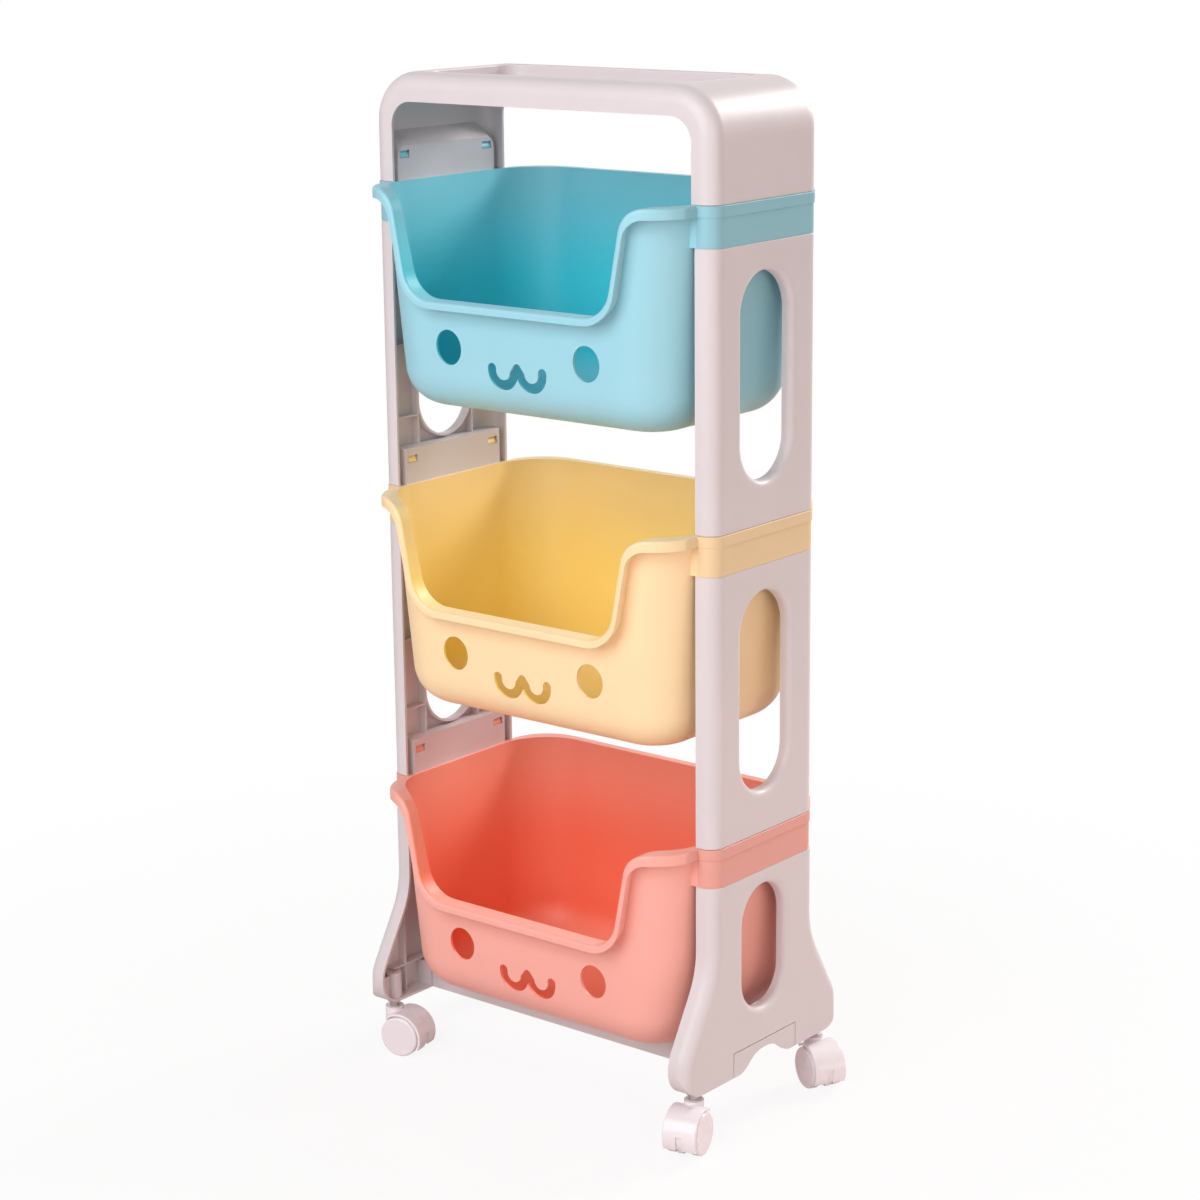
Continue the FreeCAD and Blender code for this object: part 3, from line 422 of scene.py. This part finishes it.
scene = bpy.context.scene
reach = 30.0                        # metres from the middle to the edge of the sheet
corners = [(-reach, -reach, 0), (reach, -reach, 0), (reach, reach, 0), (-reach, reach, 0)]
floor_mesh = bpy.data.meshes.new("studio_floor")
floor_mesh.from_pydata(corners, [], [(0, 1, 2, 3)])
floor_mesh.materials.append(paper)
floor = bpy.data.objects.new("studio_floor", floor_mesh)
scene.collection.objects.link(floor)
print("floor:", floor.name, "of", 2 * reach, "m square, with", paper.name)

# %% [markdown]
# The surroundings are a dim, warm pale room. One even white would be simpler, but it would
# flatten the mouldings, so the room lights them weakly, while the camera and the reflections
# see it as pure white.

# %% Pale surroundings

surround_level = 0.27
studio = bpy.data.worlds.new("pale_studio")
scene.world = studio
studio_tree = empty_graph(studio)
dim = add_node(studio_tree, "ShaderNodeBackground",
               {"Color": linear("#FFF1E6"), "Strength": surround_level}, {})
bright = add_node(studio_tree, "ShaderNodeBackground",
                  {"Color": (1, 1, 1, 1), "Strength": 1.0}, {})
studio_rays = add_node(studio_tree, "ShaderNodeLightPath", {}, {})
mirrored = add_node(studio_tree, "ShaderNodeMath", {"operation": "MAXIMUM"},
                    {0: studio_rays.outputs["Is Glossy Ray"],
                     1: studio_rays.outputs["Is Transmission Ray"]})
direct = add_node(studio_tree, "ShaderNodeMath", {"operation": "MAXIMUM"},
                  {0: studio_rays.outputs["Is Camera Ray"], 1: mirrored.outputs["Value"]})
studio_mix = add_node(studio_tree, "ShaderNodeMixShader", {},
                      {0: direct.outputs["Value"], 1: dim.outputs["Background"],
                       2: bright.outputs["Background"]})
add_node(studio_tree, "ShaderNodeOutputWorld", {}, {"Surface": studio_mix.outputs["Shader"]})
print("surroundings:", studio.name, "at", surround_level)

# %% [markdown]
# The rest of the light comes from five soft boxes. The key is wide and in front.
# A second one in front hangs higher, so that it shines over the lowered fronts onto the floors
# of the bins. A weak warm one to the right of the camera opens the shadows on the far legs,
# one behind the cart edges the rims, and a small one low down lifts the feet.
# A surface that faces them should come out about as bright as its colour is written,
# so the powers are not set by eye but worked out from the distance:
# a soft box of P watts at d metres lights a facing white sheet to about P / (9.87 d squared).

# %% Soft boxes


def soft_box(name, place, target, width, height, level, tint="#FFFFFF"):
    """Area lamp aimed at a point, with the power that lights a white sheet there to a level."""
    lamp = bpy.data.lights.new(name, "AREA")
    lamp.shape = "RECTANGLE"
    lamp.size = width
    lamp.size_y = height
    lamp.color = linear(tint)[:3]
    aim = Vector(target) - Vector(place)
    lamp.energy = level * math.pi ** 2 * aim.length_squared
    holder = bpy.data.objects.new(name, lamp)
    holder.location = place
    holder.rotation_euler = aim.to_track_quat("-Z", "Y").to_euler()
    scene.collection.objects.link(holder)
    return holder


cart_middle = (0.0, 0.0, 0.5)
right_foot = (0.19, 0.04, 0.15)
boxes = [
    soft_box("key_front", (0.0, -2.9, 1.5), cart_middle, 2.6, 1.4, 0.46, "#F5FAFF"),
    soft_box("high_front", (0.2, -2.3, 2.55), cart_middle, 2.0, 0.9, 0.32, "#F5FAFF"),
    soft_box("fill_right", (2.1, -1.3, 1.1), cart_middle, 0.9, 0.9, 0.15, "#FFF0E6"),
    soft_box("rear_right", (0.6, 2.6, 2.05), cart_middle, 0.9, 0.9, 0.80),
    soft_box("low_right", (1.0, 0.16, 0.16), right_foot, 0.5, 0.12, 0.12, "#FFF4EE"),
]
print("soft boxes in watts:", [(box.name, round(box.data.energy, 1)) for box in boxes])

# %% [markdown]
# The camera was worked out from the picture: points whose places on the cart are known were
# matched to where they are seen, which gives the place, the direction, a slight roll
# and a long portrait lens. Such a lens flattens perspective, so the upright edges stay
# almost parallel. A camera set by eye would come near, but its edges would not line up.

# %% Camera at the picture's angle

sensor_mm = 36.0
picture_pixels = 1200.0             # the picture's width
focal_pixels = 2886.5               # the lens's focal length in the picture's own pixels
yaw, pitch, roll = 0.682284, 0.246531, -0.010452    # radians: right round, down and tilted
aim_aside, aim_height = 0.003357, 0.463775          # metres: the point that is looked at
distance = 2.6876                   # metres from the camera to that point
forward = Vector((-math.sin(yaw) * math.cos(pitch), math.cos(yaw) * math.cos(pitch),
                  -math.sin(pitch)))
level_right = Vector((math.cos(yaw), math.sin(yaw), 0.0))
level_up = level_right.cross(forward)
right = level_right * math.cos(roll) + level_up * math.sin(roll)
up = level_up * math.cos(roll) - level_right * math.sin(roll)
place = level_right * aim_aside + Vector((0.0, 0.0, aim_height)) - forward * distance
turn = Matrix((right, up, -forward)).transposed()
camera_data = bpy.data.cameras.new("picture_camera")
camera_data.sensor_width = sensor_mm
camera_data.lens = sensor_mm * focal_pixels / picture_pixels
camera = bpy.data.objects.new("picture_camera", camera_data)
camera.matrix_world = Matrix.Translation(place) @ turn.to_4x4()
scene.collection.objects.link(camera)
scene.camera = camera
scene.view_settings.view_transform = "Standard"
print("camera at", [round(value, 3) for value in place], "lens", round(camera_data.lens, 1), "mm")
